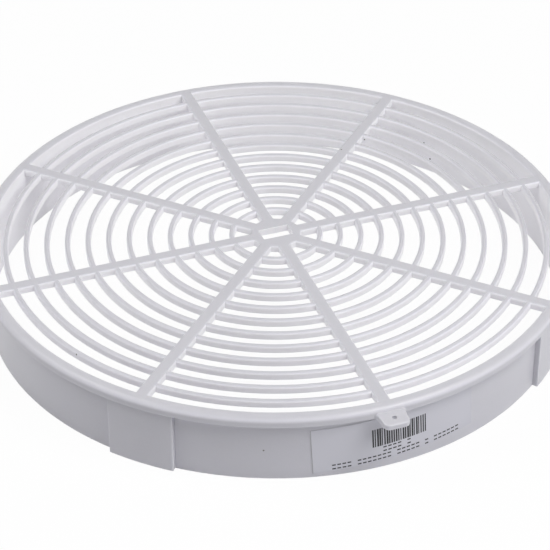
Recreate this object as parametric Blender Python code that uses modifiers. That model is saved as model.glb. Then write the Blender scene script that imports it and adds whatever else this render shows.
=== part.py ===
"""An evaporator fan cover: a round white grille moulded in one piece, with a paper label.

The grille's rings and spokes close the top of a short round skirt. The skirt drops into
a fan's opening, the flange round its top stops on the panel, four raised pads centre it,
and one screw through the ear holds it down.

Metres, +Z up. The origin is on the cover's axis, in the plane of the flange's underside,
which rests on the panel. The ear points along -Y.
"""

from math import acos, asin, ceil, cos, pi, radians, sin, tau

import bmesh
import bpy

# Skirt and flange
OVERALL_HEIGHT = 0.0357
SKIRT_RADIUS = 0.1348
SKIRT_WALL = 0.0015
FOOT_ROUNDING = 0.0005
FLANGE_OVERHANG = 0.0040
FLANGE_HEIGHT = 0.0050
FLANGE_ROUNDING = 0.0024
MOUTH_ROUNDING = 0.0013

# Rings of the grille, counted from the middle
RING_COUNT = 12
RING_PITCH = 0.009525
INNER_RING_RADIUS = 0.0205
RING_WIDTH = 0.0025
RING_HEIGHT = 0.0036
RING_RECESS = 0.0002

# Spokes and hub, whose tops, like the rings', are all but level with the flange
SPOKE_COUNT = 8
SPOKE_RECESS = 0.0001
SPOKE_WIDTH = 0.0057
SPOKE_HEIGHT = 0.0035
SPOKE_ROUNDING = 0.0009
HUB_RADIUS = 0.0118
SLOT_LENGTH = 0.0143
SLOT_WIDTH = 0.0077
SLOT_ROUNDING = 0.0003

# Pads on the skirt, at every second spoke
PAD_THICKNESS = 0.0026
PAD_WIDTH = 0.0310
PAD_FOOT_HEIGHT = 0.0002

# Screw ear, a little off the middle of its spoke
EAR_OFFSET = 0.0008
EAR_LENGTH = 0.0092
EAR_ROOT_WIDTH = 0.0128
EAR_TIP_WIDTH = 0.0112
EAR_THICKNESS = 0.0024
EAR_LIFT = 0.0001
EAR_CORNER_RADIUS = 0.0025
EAR_ROUNDING = 0.0007
EAR_HOLE_RADIUS = 0.0011
EAR_HOLE_REACH = 0.0043

# Paper label, stuck slightly askew on the skirt, whose height it fills but for two margins
LABEL_WIDTH = 0.0762
LABEL_TOP_MARGIN = 0.0008
LABEL_FOOT_MARGIN = 0.0021
LABEL_THICKNESS = 0.0003
LABEL_CLEARANCE = 0.0003
LABEL_AZIMUTH = radians(-86.9)
LABEL_TILT = radians(4.0)

# Fineness of the round faces: how far a flat facet may stand off the true curve
FACET_ERROR = 0.00025
SHELL_FACET_ERROR = 0.00014
RING_CROWN_STEPS = 3
SPOKE_BEVEL_STEPS = 1
FLANGE_BEVEL_STEPS = 3
MOUTH_BEVEL_STEPS = 2
LABEL_STEPS = 18
CREASE_ANGLE = radians(50)

# What follows from the sizes above
FLANGE_RADIUS = SKIRT_RADIUS + FLANGE_OVERHANG
TOP = FLANGE_HEIGHT
FOOT = TOP - OVERALL_HEIGHT
MOUTH_RADIUS = SKIRT_RADIUS - SKIRT_WALL
LABEL_SPAN = -FOOT - LABEL_TOP_MARGIN - LABEL_FOOT_MARGIN
LABEL_MIDDLE = FOOT + LABEL_FOOT_MARGIN + LABEL_SPAN / 2
LABEL_HEIGHT = (LABEL_SPAN - LABEL_WIDTH * sin(LABEL_TILT)) / cos(LABEL_TILT)


def make_collection(name):
    collection = bpy.data.collections.new(name)
    bpy.context.scene.collection.children.link(collection)
    return collection


def make_material(name, colour, roughness):
    material = bpy.data.materials.new(name)
    material.use_nodes = True
    shader = material.node_tree.nodes["Principled BSDF"]
    shader.inputs["Base Color"].default_value = (*colour, 1.0)
    shader.inputs["Roughness"].default_value = roughness
    shader.inputs["Metallic"].default_value = 0.0
    return material


def arc(centre, radius, start, end, steps):
    """Points of a circular arc in a plane, both ends included."""
    angles = [start + (end - start) * i / steps for i in range(steps + 1)]
    return [(centre[0] + radius * cos(a), centre[1] + radius * sin(a)) for a in angles]


def facets_round(radius, error, multiple):
    """Fewest facets, in whole multiples, that keep a circle within the error."""
    least = pi / acos(1 - error / radius)
    return multiple * ceil(least / multiple)


def turned(name, section, steps, collection):
    """A closed section of (radius, height) points turned about Z. It runs down its outer side."""
    points = [(radius, 0, height) for radius, height in section]
    edges = [(i, (i + 1) % len(points)) for i in range(len(points))]
    mesh = bpy.data.meshes.new(name)
    mesh.from_pydata(points, edges, [])
    obj = bpy.data.objects.new(name, mesh)
    collection.objects.link(obj)
    screw = obj.modifiers.new("turn", "SCREW")
    screw.axis = "Z"
    screw.angle = tau
    screw.steps = steps
    screw.render_steps = steps
    screw.use_merge_vertices = True
    screw.merge_threshold = 0.00001
    return obj


def round_top_edges(mesh, width, steps, hole=False):
    """Rounds the outline of the top face, or of the hole in it, whose walls face the axis."""
    bm = bmesh.new()
    bm.from_mesh(mesh)
    top = max(vertex.co.z for vertex in bm.verts)
    edges = []
    for edge in bm.edges:
        walls = [face for face in edge.link_faces if abs(face.normal.z) < 0.5]
        if not walls or any(vertex.co.z < top - 1e-6 for vertex in edge.verts):
            continue
        faces_axis = walls[0].normal.dot(walls[0].calc_center_median()) < 0
        if faces_axis == hole:
            edges.append(edge)
    bmesh.ops.bevel(
        bm,
        geom=edges,
        offset=width,
        offset_type="OFFSET",
        segments=steps,
        profile=0.5,
        affect="EDGES",
    )
    bm.to_mesh(mesh)
    bm.free()


def plate(name, outlines, low, high, collection):
    """A flat solid between two heights. The first outline is its edge, any others are holes."""
    curve = bpy.data.curves.new(name, "CURVE")
    curve.dimensions = "2D"
    curve.fill_mode = "BOTH"
    curve.extrude = (high - low) / 2
    for outline in outlines:
        spline = curve.splines.new("POLY")
        spline.points.add(len(outline) - 1)
        for point, (x, y) in zip(spline.points, outline):
            point.co = (x, y, 0, 1)
        spline.use_cyclic_u = True
    guide = bpy.data.objects.new(name + "_outline", curve)
    guide.location.z = (low + high) / 2
    collection.objects.link(guide)
    bpy.context.view_layer.update()
    evaluated = guide.evaluated_get(bpy.context.evaluated_depsgraph_get())
    mesh = bpy.data.meshes.new_from_object(evaluated)
    mesh.name = name
    bm = bmesh.new()
    bm.from_mesh(mesh)
    bmesh.ops.remove_doubles(bm, verts=bm.verts, dist=1e-6)
    bmesh.ops.dissolve_limit(bm, angle_limit=radians(1), verts=bm.verts, edges=bm.edges)
    bm.to_mesh(mesh)
    bm.free()
    obj = bpy.data.objects.new(name, mesh)
    obj.matrix_world = guide.matrix_world
    collection.objects.link(obj)
    bpy.data.objects.remove(guide)
    bpy.data.curves.remove(curve)
    return obj


def add_boolean(obj, name, operation, operand):
    """Joins or cuts the object by another object, or by all of a collection."""
    boolean = obj.modifiers.new(name, "BOOLEAN")
    boolean.operation = operation
    boolean.solver = "EXACT"
    if isinstance(operand, bpy.types.Collection):
        boolean.operand_type = "COLLECTION"
        boolean.collection = operand
    else:
        boolean.object = operand


def make_shell(collection):
    """Skirt and flange, turned from one section."""
    steps = facets_round(FLANGE_RADIUS, SHELL_FACET_ERROR, SPOKE_COUNT)
    mouth = arc(
        (MOUTH_RADIUS + MOUTH_ROUNDING, TOP - MOUTH_ROUNDING),
        MOUTH_ROUNDING,
        pi,
        pi / 2,
        MOUTH_BEVEL_STEPS,
    )
    shoulder = arc(
        (FLANGE_RADIUS - FLANGE_ROUNDING, TOP - FLANGE_ROUNDING),
        FLANGE_ROUNDING,
        pi / 2,
        0,
        FLANGE_BEVEL_STEPS,
    )
    section = [
        *mouth,
        *shoulder,
        (FLANGE_RADIUS, 0),
        (SKIRT_RADIUS, 0),
        (SKIRT_RADIUS, FOOT + FOOT_ROUNDING),
        (SKIRT_RADIUS - FOOT_ROUNDING, FOOT),
        (MOUTH_RADIUS, FOOT),
    ]
    return turned("fan_cover", section, steps, collection)


def make_rings(collection):
    """The grille's rings, each a turned bar with a round crown, whose middle facet is its top."""
    half_width = RING_WIDTH / 2
    top = TOP - RING_RECESS
    bottom = top - RING_HEIGHT
    crown = top - half_width * cos(pi / 2 / RING_CROWN_STEPS)
    for index in range(RING_COUNT):
        radius = INNER_RING_RADIUS + index * RING_PITCH
        section = [
            *arc((radius, crown), half_width, pi, 0, RING_CROWN_STEPS),
            (radius + half_width, bottom),
            (radius - half_width, bottom),
        ]
        steps = facets_round(radius, FACET_ERROR, SPOKE_COUNT)
        turned(f"ring_{index + 1:02d}", section, steps, collection)


def make_spider(collection):
    """Hub and spokes, cut from one outline, with the slot through the hub."""
    half_width = SPOKE_WIDTH / 2
    reach = (MOUTH_RADIUS + FLANGE_RADIUS) / 2
    foot_angle = asin(half_width / HUB_RADIUS)
    sector = tau / SPOKE_COUNT
    outline = []
    for index in range(SPOKE_COUNT):
        azimuth = index * sector
        for side in (-half_width, half_width):
            x = reach * cos(azimuth) - side * sin(azimuth)
            y = reach * sin(azimuth) + side * cos(azimuth)
            outline.append((x, y))
        outline += arc(
            (0, 0), HUB_RADIUS, azimuth + foot_angle, azimuth + sector - foot_angle, 2
        )
    slot = [
        (-SLOT_LENGTH / 2, -SLOT_WIDTH / 2),
        (SLOT_LENGTH / 2, -SLOT_WIDTH / 2),
        (SLOT_LENGTH / 2, SLOT_WIDTH / 2),
        (-SLOT_LENGTH / 2, SLOT_WIDTH / 2),
    ]
    top = TOP - SPOKE_RECESS
    spider = plate("spider", [outline, slot], top - SPOKE_HEIGHT, top, collection)
    round_top_edges(spider.data, SPOKE_ROUNDING, SPOKE_BEVEL_STEPS)
    round_top_edges(spider.data, SLOT_ROUNDING, 1, hole=True)
    return spider


def make_pads(collection):
    """Raised pads on the skirt, from its foot up into the flange."""
    outer = SKIRT_RADIUS + PAD_THICKNESS
    root = SKIRT_RADIUS - SKIRT_WALL / 2
    half_angle = asin(PAD_WIDTH / 2 / outer)
    low = FOOT + PAD_FOOT_HEIGHT
    high = FLANGE_HEIGHT / 4
    for index in range(SPOKE_COUNT // 2):
        azimuth = (2 * index + 1) * tau / SPOKE_COUNT
        outline = arc((0, 0), outer, azimuth - half_angle, azimuth + half_angle, 4)
        outline += arc((0, 0), root, azimuth + half_angle, azimuth - half_angle, 4)
        plate(f"pad_{index + 1}", [outline], low, high, collection)


def make_ear(collection):
    """A tab with round corners on the flange's edge, all but level with the flange's underside."""
    root = FLANGE_RADIUS - FLANGE_OVERHANG / 2
    tip = FLANGE_RADIUS + EAR_LENGTH
    corner = EAR_TIP_WIDTH / 2 - EAR_CORNER_RADIUS
    centre_reach = tip - EAR_CORNER_RADIUS
    outline = [(EAR_ROOT_WIDTH / 2, -root), (-EAR_ROOT_WIDTH / 2, -root)]
    outline += arc((-corner, -centre_reach), EAR_CORNER_RADIUS, pi, 1.5 * pi, 4)
    outline += arc((corner, -centre_reach), EAR_CORNER_RADIUS, 1.5 * pi, tau, 4)
    ear = plate("ear", [outline], EAR_LIFT, EAR_LIFT + EAR_THICKNESS, collection)
    round_top_edges(ear.data, EAR_ROUNDING, 1)
    ear.location.x = EAR_OFFSET
    return ear


def make_ear_hole(collection):
    mesh = bpy.data.meshes.new("ear_hole")
    bm = bmesh.new()
    bmesh.ops.create_cone(
        bm,
        cap_ends=True,
        segments=16,
        radius1=EAR_HOLE_RADIUS,
        radius2=EAR_HOLE_RADIUS,
        depth=3 * EAR_THICKNESS,
    )
    bm.to_mesh(mesh)
    bm.free()
    hole = bpy.data.objects.new("ear_hole", mesh)
    hole.location.x = EAR_OFFSET
    hole.location.y = -FLANGE_RADIUS - EAR_HOLE_REACH
    hole.location.z = EAR_LIFT + EAR_THICKNESS / 2
    collection.objects.link(hole)
    return hole


def make_cover(collection, joined, cutters):
    """The whole moulding: shell, grille, pads and ear in one solid."""
    cover = make_shell(collection)
    rings = bpy.data.collections.new("rings")
    pads = bpy.data.collections.new("pads")
    joined.children.link(rings)
    joined.children.link(pads)
    make_rings(rings)
    make_pads(pads)
    add_boolean(cover, "spider", "UNION", make_spider(joined))
    add_boolean(cover, "rings", "UNION", rings)
    add_boolean(cover, "pads", "UNION", pads)
    add_boolean(cover, "ear", "UNION", make_ear(joined))
    add_boolean(cover, "ear hole", "DIFFERENCE", make_ear_hole(cutters))
    cover.data.materials.append(make_material("white_plastic", (0.80, 0.80, 0.83), 0.38))
    return cover


def make_label(collection):
    """A paper label laid round the skirt, turned a little in its own plane."""
    radius = SKIRT_RADIUS + LABEL_CLEARANCE
    mesh = bpy.data.meshes.new("label")
    bm = bmesh.new()
    bmesh.ops.create_grid(bm, x_segments=LABEL_STEPS, y_segments=1, size=0.5)
    for vertex in bm.verts:
        along = vertex.co.x * LABEL_WIDTH
        up = vertex.co.y * LABEL_HEIGHT
        arc_length = along * cos(LABEL_TILT) - up * sin(LABEL_TILT)
        height = along * sin(LABEL_TILT) + up * cos(LABEL_TILT)
        azimuth = LABEL_AZIMUTH + arc_length / radius
        vertex.co = (radius * cos(azimuth), radius * sin(azimuth), LABEL_MIDDLE + height)
    bm.normal_update()
    bm.to_mesh(mesh)
    bm.free()
    label = bpy.data.objects.new("label", mesh)
    collection.objects.link(label)
    solidify = label.modifiers.new("paper", "SOLIDIFY")
    solidify.thickness = LABEL_THICKNESS
    solidify.offset = 1
    label.data.materials.append(make_material("label_paper", (0.82, 0.83, 0.86), 0.5))
    return label


def shade_round(obj):
    """Turns the modifiers' result into a plain mesh, smooth all over but for its real corners."""
    evaluated = obj.evaluated_get(bpy.context.evaluated_depsgraph_get())
    mesh = bpy.data.meshes.new_from_object(evaluated)
    mesh.name = obj.name
    obj.modifiers.clear()
    obj.data = mesh
    mesh.shade_smooth()
    mesh.set_sharp_from_angle(angle=CREASE_ANGLE)


def hide_helpers(collection):
    """Keeps the joined shapes and cutters out of the view of the finished part."""
    collection.hide_render = True
    for obj in collection.all_objects:
        obj.hide_render = True
        obj.display_type = "WIRE"


def main():
    for obj in list(bpy.data.objects):
        bpy.data.objects.remove(obj)
    part = make_collection("evaporator_fan_cover")
    joined = make_collection("joined_shapes")
    cutters = make_collection("cutters")
    root = bpy.data.objects.new("evaporator_fan_cover", None)
    part.objects.link(root)
    pieces = (make_cover(part, joined, cutters), make_label(part))
    bpy.context.view_layer.update()
    for obj in pieces:
        shade_round(obj)
        obj.parent = root
    hide_helpers(joined)
    hide_helpers(cutters)


main()
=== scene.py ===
from math import asin, atan2, cos, inf, pi, radians, sin, sqrt, tan, tau

import bmesh
import bpy
from mathutils import Matrix, Vector


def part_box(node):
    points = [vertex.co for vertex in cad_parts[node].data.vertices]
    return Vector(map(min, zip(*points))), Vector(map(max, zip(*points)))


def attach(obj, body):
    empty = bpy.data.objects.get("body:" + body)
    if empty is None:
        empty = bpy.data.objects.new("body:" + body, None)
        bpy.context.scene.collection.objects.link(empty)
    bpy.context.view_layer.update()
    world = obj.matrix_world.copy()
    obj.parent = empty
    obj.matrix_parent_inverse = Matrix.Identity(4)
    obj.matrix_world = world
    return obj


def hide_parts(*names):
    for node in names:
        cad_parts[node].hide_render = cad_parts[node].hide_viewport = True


# Lengths are in metres, z is 0 at the flange's underside, and the ear points to -Y

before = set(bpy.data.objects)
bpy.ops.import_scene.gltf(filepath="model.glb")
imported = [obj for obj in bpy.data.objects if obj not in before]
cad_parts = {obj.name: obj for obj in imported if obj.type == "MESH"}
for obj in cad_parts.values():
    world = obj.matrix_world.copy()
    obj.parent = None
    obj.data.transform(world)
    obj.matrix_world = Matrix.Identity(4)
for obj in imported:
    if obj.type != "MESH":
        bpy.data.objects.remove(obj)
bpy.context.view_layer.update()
coverLow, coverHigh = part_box("fan_cover")
labelLow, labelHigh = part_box("label")
print("frame loaded, cover reaches", [round(v, 4) for v in (*coverLow, *coverHigh)])


# Outlines and plain mesh helpers

shaping = {
    "flatAngle": radians(1),
    "creaseAngle": radians(40),
    "sameHeight": 1e-6,
    "wallSlope": 0.5,
}


def filleted(corners, steps):
    # each corner is (x, y, fillet radius) and turns into an arc between its two sides
    points = []
    for index, (x, y, radius) in enumerate(corners):
        corner = Vector((x, y))
        back = (Vector(corners[index - 1][:2]) - corner).normalized()
        ahead = (Vector(corners[(index + 1) % len(corners)][:2]) - corner).normalized()
        if radius == 0:
            points.append(corner)
            continue
        halfAngle = back.angle(ahead) / 2
        centre = corner + (back + ahead).normalized() * radius / sin(halfAngle)
        start = corner + back * radius / tan(halfAngle) - centre
        end = corner + ahead * radius / tan(halfAngle) - centre
        turn = atan2(start.cross(end), start.dot(end))
        for step in range(steps + 1):
            angle = turn * step / steps
            points.append(centre + Matrix.Rotation(angle, 2) @ start)
    return points


def arcPoints(radius, start, end, steps):
    angles = [start + (end - start) * step / steps for step in range(steps + 1)]
    return [Vector((radius * cos(angle), radius * sin(angle))) for angle in angles]


def addObject(name, data):
    obj = bpy.data.objects.new(name, data)
    bpy.context.scene.collection.objects.link(obj)
    return obj


def newObject(name, bm, outward=True):
    # outward turns the faces of a closed mesh outward, and False keeps them as they are
    if outward:
        bmesh.ops.recalc_face_normals(bm, faces=bm.faces)
    mesh = bpy.data.meshes.new(name)
    bm.to_mesh(mesh)
    bm.free()
    return addObject(name, mesh)


def turned(name, section, steps):
    # a closed section of (radius, height) points turned round the cover's axis
    bm = bmesh.new()
    rows = []
    for step in range(steps):
        angle = tau * step / steps
        rows.append([bm.verts.new((r * cos(angle), r * sin(angle), z)) for r, z in section])
    for step in range(steps):
        row, nextRow = rows[step - 1], rows[step]
        for index in range(len(section)):
            bm.faces.new((row[index - 1], row[index], nextRow[index], nextRow[index - 1]))
    return newObject(name, bm)


def prism(name, outlines, low, high):
    # a flat solid between two heights, its first outline the edge and the others holes
    bm = bmesh.new()
    edges = []
    for outline in outlines:
        loop = [bm.verts.new((x, y, low)) for x, y in outline]
        edges += [bm.edges.new((loop[index - 1], loop[index])) for index in range(len(loop))]
    bmesh.ops.triangle_fill(bm, edges=edges, use_beauty=False, use_dissolve=False)
    made = bmesh.ops.extrude_face_region(bm, geom=list(bm.faces))["geom"]
    raised = [item for item in made if isinstance(item, bmesh.types.BMVert)]
    bmesh.ops.translate(bm, vec=(0, 0, high - low), verts=raised)
    bmesh.ops.dissolve_limit(bm, angle_limit=shaping["flatAngle"], verts=bm.verts, edges=bm.edges)
    return newObject(name, bm)


def roundRim(obj, height, width, steps, beyond=0.0, within=inf):
    # rounds the rim of a prism's flat face at that height, between two distances from the axis
    bm = bmesh.new()
    bm.from_mesh(obj.data)
    rim = []
    for edge in bm.edges:
        flat = all(abs(vertex.co.z - height) < shaping["sameHeight"] for vertex in edge.verts)
        wall = any(abs(face.normal.z) < shaping["wallSlope"] for face in edge.link_faces)
        reach = max(vertex.co.xy.length for vertex in edge.verts)
        if flat and wall and beyond <= reach < within:
            rim.append(edge)
    bmesh.ops.bevel(
        bm, geom=rim, offset=width, offset_type="OFFSET", segments=steps, profile=0.5, affect="EDGES"
    )
    bm.to_mesh(obj.data)
    bm.free()


def plainMesh(obj):
    # turns the modifiers' result into the object's own mesh
    evaluated = obj.evaluated_get(bpy.context.evaluated_depsgraph_get())
    mesh = bpy.data.meshes.new_from_object(evaluated)
    mesh.name = obj.name
    obj.modifiers.clear()
    obj.data = mesh
    return obj


def join(obj, other, operation="UNION"):
    modifier = obj.modifiers.new(other.name, "BOOLEAN")
    modifier.operation = operation
    modifier.solver = "EXACT"
    modifier.object = other
    bpy.context.view_layer.update()
    plainMesh(obj)
    bpy.data.objects.remove(other)


def shadeSmooth(obj):
    obj.data.shade_smooth()
    obj.data.set_sharp_from_angle(angle=shaping["creaseAngle"])


# Node helpers, for shapes and materials

def addNode(tree, kind, inputs=None, **settings):
    # inputs maps a socket's name or number to a value or to the output socket that feeds it
    node = tree.nodes.new(kind)
    for key, value in settings.items():
        setattr(node, key, value)
    for key, value in (inputs or {}).items():
        socket = node.inputs[key]
        if isinstance(value, bpy.types.NodeSocket):
            tree.links.new(value, socket)
        else:
            socket.default_value = value
    return node


def maths(tree, operation, *values):
    node = addNode(tree, "ShaderNodeMath", dict(enumerate(values)), operation=operation)
    return node.outputs[0]


def newTree(name, sockets):
    # sockets maps the name of each input to its type
    tree = bpy.data.node_groups.new(name, "GeometryNodeTree")
    for title, kind in sockets.items():
        tree.interface.new_socket(title, in_out="INPUT", socket_type="NodeSocket" + kind)
    tree.interface.new_socket("Geometry", in_out="OUTPUT", socket_type="NodeSocketGeometry")
    return tree, tree.nodes.new("NodeGroupInput").outputs


def endTree(tree, geometry, material):
    painted = addNode(tree, "GeometryNodeSetMaterial", {"Geometry": geometry, "Material": material})
    end = tree.nodes.new("NodeGroupOutput")
    tree.links.new(painted.outputs[0], end.inputs[0])
    return tree


def grown(name, tree, values):
    # runs a tree on an empty mesh and keeps what it makes as a plain mesh
    obj = addObject(name, bpy.data.meshes.new(name))
    modifier = obj.modifiers.new(tree.name, "NODES")
    modifier.node_group = tree
    sockets = [item for item in tree.interface.items_tree if item.in_out == "INPUT"]
    identifiers = {item.name: item.identifier for item in sockets}
    for title, value in values.items():
        modifier[identifiers[title]] = value
    bpy.context.view_layer.update()
    return plainMesh(obj)


# Rings of the grille

ring = {
    "count": 12,
    "pitch": 0.009525,
    "firstRadius": 0.0205,
    "width": 0.0025,
    "height": 0.0036,
    "recess": 0.00015,
    "topRound": 0.00122,
    "underRound": 0.0002,
    "steps": 160,
    "cornerSteps": 5,
}


def ringsTree():
    tree, size = newTree("ringsOfGrille", {
        "Count": "Int",
        "First Radius": "Float",
        "Pitch": "Float",
        "Width": "Float",
        "Height": "Float",
        "Middle Height": "Float",
        "Top Round": "Float",
        "Under Round": "Float",
        "Steps": "Int",
        "Corner Steps": "Int",
        "Material": "Material",
    })
    index = addNode(tree, "GeometryNodeInputIndex").outputs[0]
    radius = maths(tree, "MULTIPLY_ADD", index, size["Pitch"], size["First Radius"])
    place = addNode(tree, "ShaderNodeCombineXYZ", {"Z": size["Middle Height"]}).outputs[0]
    points = addNode(tree, "GeometryNodePoints", {"Count": size["Count"], "Position": place})
    circle = addNode(tree, "GeometryNodeCurvePrimitiveCircle", {
        "Resolution": size["Steps"],
        "Radius": 1.0,
    })
    circles = addNode(tree, "GeometryNodeInstanceOnPoints", {
        "Points": points.outputs[0],
        "Instance": circle.outputs["Curve"],
        "Scale": radius,
    })
    paths = addNode(tree, "GeometryNodeRealizeInstances", {0: circles.outputs[0]})
    bar = addNode(tree, "GeometryNodeCurvePrimitiveQuadrilateral", {
        "Width": size["Width"],
        "Height": size["Height"],
    })
    corner = addNode(tree, "GeometryNodeInputPosition").outputs[0]
    cornerHeight = addNode(tree, "ShaderNodeSeparateXYZ", {0: corner}).outputs["Y"]
    # a profile's Y points down on a level circle
    atTop = maths(tree, "LESS_THAN", cornerHeight, 0.0)
    extra = maths(tree, "SUBTRACT", size["Top Round"], size["Under Round"])
    rounding = maths(tree, "MULTIPLY_ADD", atTop, extra, size["Under Round"])
    profile = addNode(tree, "GeometryNodeFilletCurve", {
        "Curve": bar.outputs[0],
        "Radius": rounding,
        "Limit Radius": True,
        "Count": size["Corner Steps"],
    }, mode="POLY")
    rings = addNode(tree, "GeometryNodeCurveToMesh", {
        "Curve": paths.outputs[0],
        "Profile Curve": profile.outputs[0],
    })
    return endTree(tree, rings.outputs[0], size["Material"])


def makeRings(material):
    return grown("rings", ringsTree(), {
        "Count": ring["count"],
        "First Radius": ring["firstRadius"],
        "Pitch": ring["pitch"],
        "Width": ring["width"],
        "Height": ring["height"],
        "Middle Height": coverHigh.z - ring["recess"] - ring["height"] / 2,
        "Top Round": ring["topRound"],
        "Under Round": ring["underRound"],
        "Steps": ring["steps"],
        "Corner Steps": ring["cornerSteps"],
        "Material": material,
    })


# Shell: skirt and flange turned from one section

shell = {
    "flangeRadius": coverHigh.x,
    "overhang": 0.0040,
    "flangeHeight": 0.0050,
    "wall": 0.0015,
    "shoulderRound": 0.0024,
    "lipRound": 0.0008,
    "cornerRound": 0.00015,
    "mouthRound": 0.0013,
    "footRound": 0.0005,
    "steps": 288,
    "cornerSteps": 6,
}
shell["skirtRadius"] = shell["flangeRadius"] - shell["overhang"]
shell["mouthRadius"] = shell["skirtRadius"] - shell["wall"]
shell["underside"] = coverHigh.z - shell["flangeHeight"]


def makeShell():
    top, foot = coverHigh.z, coverLow.z
    corners = [
        (shell["mouthRadius"], top, shell["mouthRound"]),
        (shell["flangeRadius"], top, shell["shoulderRound"]),
        (shell["flangeRadius"], shell["underside"], shell["lipRound"]),
        (shell["skirtRadius"], shell["underside"], shell["cornerRound"]),
        (shell["skirtRadius"], foot, shell["footRound"]),
        (shell["mouthRadius"], foot, shell["footRound"]),
    ]
    return turned("fan_cover_shell", filleted(corners, shell["cornerSteps"]), shell["steps"])


# Hub and spokes in one plate, with the slot through the hub

spider = {
    "spokes": 8,
    "width": 0.0057,
    "height": 0.0035,
    "recess": 0.0001,
    "topRound": 0.0009,
    "topSteps": 4,
    "underRound": 0.0003,
    "underSteps": 2,
    "hubRadius": 0.0118,
    "hubSides": 1,  # straight sides of the hub between two spokes
    "neckRound": 0.0006,
    "slotLength": 0.0143,
    "slotWidth": 0.0077,
    "slotCorner": 0.0004,
    "slotRound": 0.0003,
    "slotSteps": 2,
    "slotMargin": 0.0002,
    "cornerSteps": 4,
}


def spiderOutline():
    half = spider["width"] / 2
    reach = (shell["mouthRadius"] + shell["flangeRadius"]) / 2
    sector = tau / spider["spokes"]
    foot = asin(half / spider["hubRadius"])
    corners = []
    for index in range(spider["spokes"]):
        azimuth = index * sector
        turn = Matrix.Rotation(azimuth, 2)
        corners += [(*(turn @ Vector((reach, side))), 0) for side in (-half, half)]
        start, end = azimuth + foot, azimuth + sector - foot
        between = arcPoints(spider["hubRadius"], start, end, spider["hubSides"])
        corners += [(*point, spider["neckRound"]) for point in between]
    return filleted(corners, spider["cornerSteps"])


def makeSpider():
    x, y = spider["slotLength"] / 2, spider["slotWidth"] / 2
    slot = [(-x, -y), (x, -y), (x, y), (-x, y)]
    slot = [(*corner, spider["slotCorner"]) for corner in slot]
    top = coverHigh.z - spider["recess"]
    low = top - spider["height"]
    outlines = [spiderOutline(), filleted(slot, spider["cornerSteps"])]
    plate = prism("spider", outlines, low, top)
    slotReach = sqrt(x * x + y * y) + spider["slotMargin"]
    roundRim(plate, top, spider["topRound"], spider["topSteps"], beyond=slotReach)
    roundRim(plate, top, spider["slotRound"], spider["slotSteps"], within=slotReach)
    roundRim(plate, low, spider["underRound"], spider["underSteps"])
    return plate


# Pads on the skirt, repeated round the axis

pad = {
    "count": 4,
    "firstAngle": radians(45),
    "thickness": 0.0026,
    "width": 0.0310,
    "footHeight": 0.0002,
    "topShare": 0.75,  # how far below the cover's top a pad ends, as a share of the flange's height
    "edgeRound": 0.0004,
    "edgeSteps": 3,
    "arcSteps": 12,
}


def aroundAxisTree():
    tree, size = newTree("aroundAxis", {
        "Piece": "Object",
        "Count": "Int",
        "First Angle": "Float",
        "Material": "Material",
    })
    points = addNode(tree, "GeometryNodePoints", {"Count": size["Count"]})
    index = addNode(tree, "GeometryNodeInputIndex").outputs[0]
    step = maths(tree, "DIVIDE", tau, size["Count"])
    angle = maths(tree, "MULTIPLY_ADD", index, step, size["First Angle"])
    turn = addNode(tree, "ShaderNodeCombineXYZ", {"Z": angle}).outputs[0]
    piece = addNode(tree, "GeometryNodeObjectInfo", {"Object": size["Piece"]})
    copies = addNode(tree, "GeometryNodeInstanceOnPoints", {
        "Points": points.outputs[0],
        "Instance": piece.outputs["Geometry"],
        "Rotation": turn,
    })
    real = addNode(tree, "GeometryNodeRealizeInstances", {0: copies.outputs[0]})
    return endTree(tree, real.outputs[0], size["Material"])


def makePads(material):
    outer = shell["skirtRadius"] + pad["thickness"]
    root = shell["skirtRadius"] - shell["wall"] / 2
    half = asin(pad["width"] / 2 / outer)
    low = coverLow.z + pad["footHeight"]
    high = coverHigh.z - shell["flangeHeight"] * pad["topShare"]
    corners = [(*point, 0) for point in arcPoints(outer, -half, half, pad["arcSteps"])]
    for end in (0, -1):
        corners[end] = (*corners[end][:2], pad["edgeRound"])
    corners += [(*point, 0) for point in arcPoints(root, half, -half, pad["arcSteps"])]
    one = prism("pad", [filleted(corners, pad["edgeSteps"])], low, high)
    roundRim(one, low, pad["edgeRound"], pad["edgeSteps"])
    pads = grown("pads", aroundAxisTree(), {
        "Piece": one,
        "Count": pad["count"],
        "First Angle": pad["firstAngle"],
        "Material": material,
    })
    bpy.data.objects.remove(one)
    return pads


# Screw ear on the flange

ear = {
    "offset": 0.0008,
    "tipReach": -coverLow.y,
    "rootWidth": 0.0128,
    "rootFlare": 0.003,
    "rootDepth": 0.003,
    "tipWidth": 0.0112,
    "thickness": 0.0024,
    "lift": 0.0001,
    "tipCorner": 0.0025,
    "rootFillet": 0.0015,
    "cornerSteps": 5,
    "rimRound": 0.0007,
    "rimSteps": 3,
    "underRound": 0.0002,
    "underSteps": 2,
    "neckRound": 0.0010,
    "neckSteps": 6,
    "neckSink": 0.0012,
    "neckInset": 0.0004,
    "neckBite": 0.0001,
    "neckDip": 0.00002,
    "holeRadius": 0.0011,
    "holeSteps": 32,
    "holeReach": 0.0043,
    "drillLength": 0.012,
}
ear["low"] = shell["underside"] + ear["lift"]
ear["high"] = ear["low"] + ear["thickness"]


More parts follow.
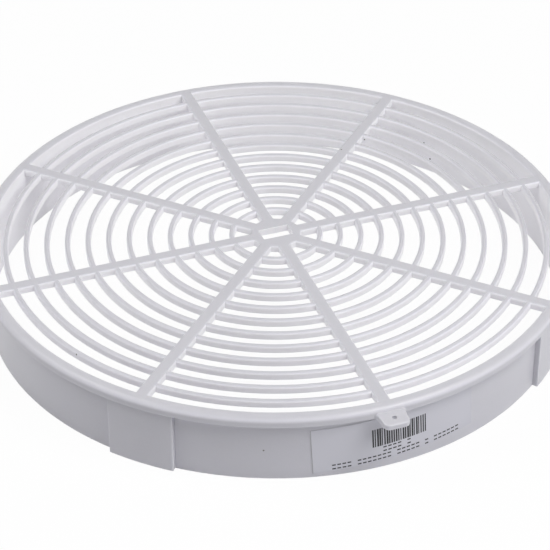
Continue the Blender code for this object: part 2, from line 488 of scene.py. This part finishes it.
def makeEar():
    edge = shell["flangeRadius"]
    root, tip = ear["rootWidth"] / 2, ear["tipWidth"] / 2
    flare = root + ear["rootFlare"]
    side = [
        (flare, -edge + ear["rootDepth"], 0),
        (flare, -sqrt(edge * edge - flare * flare), 0),
        (root, -sqrt(edge * edge - root * root), ear["rootFillet"]),
        (tip, -ear["tipReach"], ear["tipCorner"]),
    ]
    corners = side + [(-x, y, radius) for x, y, radius in reversed(side)]
    corners = [(x + ear["offset"], y, radius) for x, y, radius in corners]
    tab = prism("ear", [filleted(corners, ear["cornerSteps"])], ear["low"], ear["high"])
    roundRim(tab, ear["high"], ear["rimRound"], ear["rimSteps"])
    roundRim(tab, ear["low"], ear["underRound"], ear["underSteps"])
    return tab


def makeEarNeck():
    # the fillet between the flange's side and the ear's top, as a bar with a hollow face
    reach, sink = ear["neckRound"], ear["neckSink"]
    quarter = arcPoints(reach, 0, -pi / 2, ear["neckSteps"])
    hollow = [point + Vector((-reach, reach)) for point in quarter]
    section = [Vector((sink, -sink)), Vector((sink, reach)), *hollow, Vector((-reach, -sink))]
    half = ear["rootWidth"] / 2 - ear["neckInset"]
    across = ear["neckBite"] - shell["flangeRadius"]
    start = Vector((ear["offset"], across, ear["high"] - ear["neckDip"]))
    bm = bmesh.new()
    left, right = [
        [bm.verts.new(start + Vector((x, y, z))) for y, z in section] for x in (-half, half)
    ]
    for index in range(len(section)):
        bm.faces.new((left[index - 1], left[index], right[index], right[index - 1]))
    bm.faces.new(left)
    bm.faces.new(right)
    return newObject("ear_neck", bm)


def makeEarHole():
    bm = bmesh.new()
    bmesh.ops.create_cone(
        bm,
        cap_ends=True,
        segments=ear["holeSteps"],
        radius1=ear["holeRadius"],
        radius2=ear["holeRadius"],
        depth=ear["drillLength"],
    )
    place = (ear["offset"], -shell["flangeRadius"] - ear["holeReach"], 0)
    bmesh.ops.translate(bm, vec=place, verts=bm.verts)
    return newObject("ear_hole", bm)


# Material helpers

def newMaterial(name):
    material = bpy.data.materials.new(name)
    material.use_nodes = True
    return material, material.node_tree, material.node_tree.nodes["Principled BSDF"]


def mixColour(tree, factor, first, second):
    # sockets 6, 7 and output 2 are the node's colours
    inputs = {0: factor, 6: first, 7: second}
    return addNode(tree, "ShaderNodeMix", inputs, data_type="RGBA").outputs[2]


def scaled(tree, colour, factor):
    node = addNode(tree, "ShaderNodeVectorMath", {0: colour, "Scale": factor}, operation="SCALE")
    return node.outputs[0]


def ramp(tree, value, low, high, first=0.0, last=1.0, kind="LINEAR"):
    inputs = {0: value, 1: low, 2: high, 3: first, 4: last}
    return addNode(tree, "ShaderNodeMapRange", inputs, interpolation_type=kind).outputs[0]


def noise(tree, place, scale, detail):
    node = addNode(tree, "ShaderNodeTexNoise", {"Vector": place, "Scale": scale, "Detail": detail})
    return node.outputs["Fac"]


def swung(tree, value, swing, middle=1.0):
    # a noise from 0 to 1 turned into a factor that swings to both sides of the middle
    return maths(tree, "MULTIPLY_ADD", maths(tree, "SUBTRACT", value, 0.5), 2 * swing, middle)


def addBump(tree, shader, height, strength, depth):
    inputs = {"Height": height, "Strength": strength, "Distance": depth}
    bump = addNode(tree, "ShaderNodeBump", inputs)
    tree.links.new(bump.outputs[0], shader.inputs["Normal"])


def seenDirectly(tree):
    # 1 for rays from the camera, through glass or off a glossy surface, and 0 for other light
    rays = addNode(tree, "ShaderNodeLightPath").outputs
    seen = maths(tree, "MAXIMUM", rays["Is Camera Ray"], rays["Is Transmission Ray"])
    return maths(tree, "MAXIMUM", seen, rays["Is Glossy Ray"])


# White plastic: walls paler as painted light, a greyer outside and top as painted shade, a few specks
# of dirt

plastic = {
    # the walls' colour is paler as painted light, the top's and the outside's colours greyer as
    # painted shade
    "litWallColour": (0.920, 0.909, 0.972, 1),
    "shadedTopColour": (0.612, 0.606, 0.645, 1),
    "shadedTopFrom": 0.3,
    "shadedTopFull": 0.95,
    "shadedOutsideColour": (0.606, 0.601, 0.642, 1),
    "shadedOutsideFrom": 0.1345,
    "shadedOutsideFade": 0.0002,
    # the outside's painted shade fades out between these two heights, a painted highlight on the
    # flange's shoulder
    "shadedOutsideTop": 0.0022,
    "paintedHighlightTop": 0.0054,
    "roughness": 0.36,
    "roughnessSwing": 0.05,
    "translucency": 1.0,
    "lightReach": 0.0014,
    "cloud": 0.02,
    "cloudScale": 45.0,
    "cloudDetail": 3.0,
    "grain": 0.025,
    "grainScale": 1300.0,
    "grainDetail": 2.0,
    "bump": 0.05,
    "bumpDepth": 0.0001,
}
specks = {
    "colour": (0.10, 0.09, 0.08, 1),
    "core": 0.5,  # the share of a speck's radius that is fully dark
    # each is x, y, z and radius
    "places": [
        (-0.1126, -0.0577, 0.0038, 0.0005),
        (0.0702, 0.0647, 0.0026, 0.0005),
        (0.1083, 0.0777, -0.0152, 0.0006),
        (0.1106, 0.0744, -0.0233, 0.0006),
        (0.0547, 0.0566, 0.0049, 0.0005),
        (-0.0508, -0.1248, -0.0151, 0.0005),
    ],
}


def paintedLightAndShade(tree, place):
    # painted light and shade by place and slope: paler walls as painted light, a greyer top and
    # outside as painted shade
    split = addNode(tree, "ShaderNodeSeparateXYZ", {0: place}).outputs
    level = addNode(tree, "ShaderNodeCombineXYZ", {"X": split["X"], "Y": split["Y"]}).outputs[0]
    axisReach = addNode(tree, "ShaderNodeVectorMath", {0: level}, operation="LENGTH").outputs["Value"]
    # painted shade on the outside of the skirt, flange, pads and ear
    shadedOutsideFrom = plastic["shadedOutsideFrom"]
    shadedOutside = ramp(tree, axisReach, shadedOutsideFrom, shadedOutsideFrom + plastic["shadedOutsideFade"])
    # a painted highlight: the flange's shoulder turns paler towards its top
    belowHighlight = ramp(tree, split["Z"], plastic["shadedOutsideTop"], plastic["paintedHighlightTop"], 1.0, 0.0)
    shadedOutside = maths(tree, "MULTIPLY", shadedOutside, belowHighlight)
    normal = addNode(tree, "ShaderNodeNewGeometry").outputs["Normal"]
    upward = addNode(tree, "ShaderNodeSeparateXYZ", {0: normal}).outputs["Z"]
    # painted shade on the faces that look up
    shadedTop = ramp(tree, upward, plastic["shadedTopFrom"], plastic["shadedTopFull"], kind="SMOOTHSTEP")
    colour = mixColour(tree, shadedOutside, plastic["litWallColour"], plastic["shadedOutsideColour"])
    return mixColour(tree, shadedTop, colour, plastic["shadedTopColour"])


def makePlastic():
    material, tree, shader = newMaterial("white_plastic")
    shader.inputs["Subsurface Weight"].default_value = plastic["translucency"]
    shader.inputs["Subsurface Radius"].default_value = (1, 1, 1)
    shader.inputs["Subsurface Scale"].default_value = plastic["lightReach"]
    place = addNode(tree, "ShaderNodeTexCoord").outputs["Object"]
    cloud = noise(tree, place, plastic["cloudScale"], plastic["cloudDetail"])
    grain = noise(tree, place, plastic["grainScale"], plastic["grainDetail"])
    shade = swung(tree, grain, plastic["grain"], swung(tree, cloud, plastic["cloud"]))
    colour = scaled(tree, paintedLightAndShade(tree, place), shade)
    for x, y, z, size in specks["places"]:
        away = addNode(tree, "ShaderNodeVectorMath", {0: place, 1: (x, y, z)}, operation="DISTANCE")
        dark = ramp(tree, away.outputs["Value"], size * specks["core"], size, 1.0, 0.0)
        colour = mixColour(tree, dark, colour, specks["colour"])
    tree.links.new(colour, shader.inputs["Base Color"])
    roughness, swing = plastic["roughness"], plastic["roughnessSwing"]
    gloss = ramp(tree, cloud, 0.0, 1.0, roughness - swing, roughness + swing)
    tree.links.new(gloss, shader.inputs["Roughness"])
    addBump(tree, shader, grain, plastic["bump"], plastic["bumpDepth"])
    return material


# The cover: all its shapes joined into one solid

def makeCover(material):
    solid = makeShell()
    grille = makeSpider()
    join(grille, makeRings(material))
    print("grille joined:", len(grille.data.polygons), "faces")
    join(solid, grille)
    join(solid, makePads(material))
    join(solid, makeEar())
    join(solid, makeEarNeck())
    join(solid, makeEarHole(), "DIFFERENCE")
    solid.name = "cover"
    solid.data.materials.clear()
    solid.data.materials.append(material)
    for face in solid.data.polygons:
        face.material_index = 0
    shadeSmooth(solid)
    weighted = solid.modifiers.new("weighted", "WEIGHTED_NORMAL")
    weighted.mode = "FACE_AREA"
    weighted.keep_sharp = True
    plainMesh(solid)
    print("cover joined:", len(solid.data.polygons), "faces")
    return solid


# Paper label on the skirt

label = {
    "width": 0.0762,
    "thickness": 0.00010,
    "gap": 0.00003,
    "azimuth": radians(-87.4),
    "tilt": radians(3.3),
    "stepsAlong": 60,
    "stepsUp": 6,
}
label["middle"] = (labelLow.z + labelHigh.z) / 2
label["rise"] = label["width"] * sin(label["tilt"])
label["height"] = (labelHigh.z - labelLow.z - label["rise"]) / cos(label["tilt"])


def makeLabel(material):
    # a grid of 1 by 1 gives the print its UVs and is then bent round the skirt
    radius = shell["skirtRadius"] + label["gap"]
    halfSide = 0.5
    bm = bmesh.new()
    uvLayer = bm.loops.layers.uv.new("print")
    bmesh.ops.create_grid(
        bm, x_segments=label["stepsAlong"], y_segments=label["stepsUp"], size=halfSide
    )
    for face in bm.faces:
        for loop in face.loops:
            loop[uvLayer].uv = (loop.vert.co.x + halfSide, loop.vert.co.y + halfSide)
    for vertex in bm.verts:
        along, up = vertex.co.x * label["width"], vertex.co.y * label["height"]
        arc = along * cos(label["tilt"]) - up * sin(label["tilt"])
        height = along * sin(label["tilt"]) + up * cos(label["tilt"])
        azimuth = label["azimuth"] + arc / radius
        vertex.co = (radius * cos(azimuth), radius * sin(azimuth), label["middle"] + height)
    sheet = newObject("label_paper", bm, outward=False)
    solidify = sheet.modifiers.new("paper", "SOLIDIFY")
    solidify.thickness = label["thickness"]
    solidify.offset = 1
    bpy.context.view_layer.update()
    plainMesh(sheet)
    sheet.data.materials.append(material)
    shadeSmooth(sheet)
    return sheet


# The label's paper and print, with plain bars and dashes in place of words

paper = {
    "colour": (0.575, 0.573, 0.628),
    "ink": (0.012, 0.012, 0.015, 1),
    # a painted shadow: the darker line along the label's left edge
    "edgeShadowColour": (0.38, 0.375, 0.40, 1),
    "edgeShadowWidth": 0.0003,
    "roughness": 0.45,
    "fibre": 0.03,
    "fibreScale": 300.0,
    "fibreDetail": 3.0,
    "bump": 0.1,
    "bumpDepth": 0.00005,
    # the bars and the two rows of dashes, along and up from the label's middle
    "barsFrom": -0.0115,
    "barsTo": 0.0142,
    "barsLow": -0.0035,
    "barsHigh": 0.0062,
    "bars": 24,
    "rows": (
        {"start": -0.0067, "cells": 6, "height": -0.0056},
        {"start": -0.0296, "cells": 27, "height": -0.0095},
    ),
    "cell": 0.00225,
    "dashTall": 0.0007,
    "dashGap": 0.0020,
    # shares of a cell, and the share of cells that stay blank
    "barThin": 0.45,
    "barThick": 0.85,
    "dashLength": 0.72,
    "blank": 0.12,
}


def allOf(tree, first, *others):
    # masks of 0 and 1 multiplied
    for other in others:
        first = maths(tree, "MULTIPLY", first, other)
    return first


def between(tree, value, low, high):
    return maths(tree, "COMPARE", value, (low + high) / 2, (high - low) / 2)


def cells(tree, along, start, pitch):
    # the place inside a cell from 0 to 1, and a random number for the cell
    count = maths(tree, "DIVIDE", maths(tree, "SUBTRACT", along, start), pitch)
    cell = maths(tree, "FLOOR", count)
    chance = addNode(tree, "ShaderNodeTexWhiteNoise", {"W": cell}, noise_dimensions="1D")
    return maths(tree, "FRACT", count), chance.outputs["Value"]


def barMask(tree, along, up):
    start, end = paper["barsFrom"], paper["barsTo"]
    phase, chance = cells(tree, along, start, (end - start) / paper["bars"])
    spread = paper["barThick"] - paper["barThin"]
    width = maths(tree, "MULTIPLY_ADD", chance, spread, paper["barThin"])
    inked = maths(tree, "LESS_THAN", phase, width)
    inHeight = between(tree, up, paper["barsLow"], paper["barsHigh"])
    return allOf(tree, inked, between(tree, along, start, end), inHeight)


def dashMask(tree, along, up, row):
    # each row is two lines of dashes, the same distance above and below its height
    phase, chance = cells(tree, along, row["start"], paper["cell"])
    dash = maths(tree, "LESS_THAN", phase, paper["dashLength"])
    kept = maths(tree, "GREATER_THAN", chance, paper["blank"])
    end = row["start"] + row["cells"] * paper["cell"]
    fromRow = maths(tree, "ABSOLUTE", maths(tree, "SUBTRACT", up, row["height"]))
    fromLine = maths(tree, "ABSOLUTE", maths(tree, "SUBTRACT", fromRow, paper["dashGap"] / 2))
    inLine = maths(tree, "LESS_THAN", fromLine, paper["dashTall"] / 2)
    return allOf(tree, dash, kept, between(tree, along, row["start"], end), inLine)


def makePaper():
    material, tree, shader = newMaterial("label_paper")
    uv = addNode(tree, "ShaderNodeUVMap", uv_map="print").outputs[0]
    split = addNode(tree, "ShaderNodeSeparateXYZ", {0: uv}).outputs
    along = maths(tree, "MULTIPLY", maths(tree, "SUBTRACT", split["X"], 0.5), label["width"])
    up = maths(tree, "MULTIPLY", maths(tree, "SUBTRACT", split["Y"], 0.5), label["height"])
    ink = barMask(tree, along, up)
    for row in paper["rows"]:
        ink = maths(tree, "MAXIMUM", ink, dashMask(tree, along, up, row))
    fibre = noise(tree, uv, paper["fibreScale"], paper["fibreDetail"])
    colour = scaled(tree, paper["colour"], swung(tree, fibre, paper["fibre"]))
    # painted shadow along the label's left edge
    edge = maths(tree, "LESS_THAN", along, paper["edgeShadowWidth"] - label["width"] / 2)
    colour = mixColour(tree, edge, colour, paper["edgeShadowColour"])
    colour = mixColour(tree, ink, colour, paper["ink"])
    tree.links.new(colour, shader.inputs["Base Color"])
    shader.inputs["Roughness"].default_value = paper["roughness"]
    addBump(tree, shader, fibre, paper["bump"], paper["bumpDepth"])
    return material


# Floor and backdrop

stage = {
    "size": 8.0,
    "drop": 0.0002,
    "colour": (0.86, 0.86, 0.87, 1),
    "roughness": 0.9,
    "backdrop": (1, 1, 1, 1),
    "cameraWhite": 0.96,
}


def makeStage():
    bm = bmesh.new()
    bmesh.ops.create_grid(bm, x_segments=1, y_segments=1, size=stage["size"] / 2)
    bmesh.ops.translate(bm, vec=(0, 0, coverLow.z - stage["drop"]), verts=bm.verts)
    floor = newObject("floor", bm)
    material, tree, shader = newMaterial("floor")
    shader.inputs["Base Color"].default_value = stage["colour"]
    shader.inputs["Roughness"].default_value = stage["roughness"]
    glow = addNode(tree, "ShaderNodeEmission", {"Color": stage["backdrop"], "Strength": 1.0})
    share = maths(tree, "MULTIPLY", seenDirectly(tree), stage["cameraWhite"])
    blend = addNode(tree, "ShaderNodeMixShader", {0: share, 1: shader.outputs[0], 2: glow.outputs[0]})
    tree.links.new(blend.outputs[0], tree.nodes["Material Output"].inputs["Surface"])
    floor.data.materials.append(material)


# Light

lamps = {
    "right": {"place": (0.52, -0.74, 1.07), "size": 0.8, "power": 13.4},
    "left": {"place": (-0.85, 0.31, 1.07), "size": 0.8, "power": 7.8},
}
world = {"ambient": 0.19}


def makeLamps():
    for name, lamp in lamps.items():
        data = bpy.data.lights.new(name, "AREA")
        data.energy = lamp["power"]
        data.size = lamp["size"]
        obj = addObject(name, data)
        obj.location = lamp["place"]
        obj.rotation_euler = (-Vector(lamp["place"])).to_track_quat("-Z", "Y").to_euler()


def makeWorld():
    sky = bpy.data.worlds.new("backdrop")
    bpy.context.scene.world = sky
    sky.use_nodes = True
    background = sky.node_tree.nodes["Background"]
    background.inputs["Color"].default_value = stage["backdrop"]
    seen = seenDirectly(sky.node_tree)
    strength = ramp(sky.node_tree, seen, 0.0, 1.0, world["ambient"], 1.0)
    sky.node_tree.links.new(strength, background.inputs["Strength"])


# Camera, fitted to the photograph

camera = {
    "lens": 149.5,
    "sensor": 36.0,
    "azimuth": radians(19.86),
    "elevation": radians(35.262),
    "roll": radians(-0.087),
    "distance": 1.0342,
    "aim": (-0.01204, -0.03200, coverHigh.z - 0.0005),
    "near": 0.05,
    "far": 50.0,
}


def makeCamera():
    data = bpy.data.cameras.new("camera")
    data.lens = camera["lens"]
    data.sensor_width = camera["sensor"]
    data.clip_start = camera["near"]
    data.clip_end = camera["far"]
    obj = addObject("camera", data)
    turn = Matrix.Rotation(-camera["azimuth"], 4, "Z")
    turn = turn @ Matrix.Rotation(pi / 2 - camera["elevation"], 4, "X")
    turn = turn @ Matrix.Rotation(camera["roll"], 4, "Z")
    back = turn.to_3x3() @ Vector((0, 0, 1))
    obj.matrix_world = Matrix.Translation(Vector(camera["aim"]) + back * camera["distance"]) @ turn
    bpy.context.scene.camera = obj


coverObject = makeCover(makePlastic())
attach(coverObject, "root")
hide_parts("fan_cover")

labelObject = makeLabel(makePaper())
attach(labelObject, "root")
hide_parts("label")
print("label laid on the skirt")

makeStage()
makeLamps()
makeWorld()
makeCamera()
bpy.context.scene.view_settings.view_transform = "Standard"
print("stage, light and camera set")
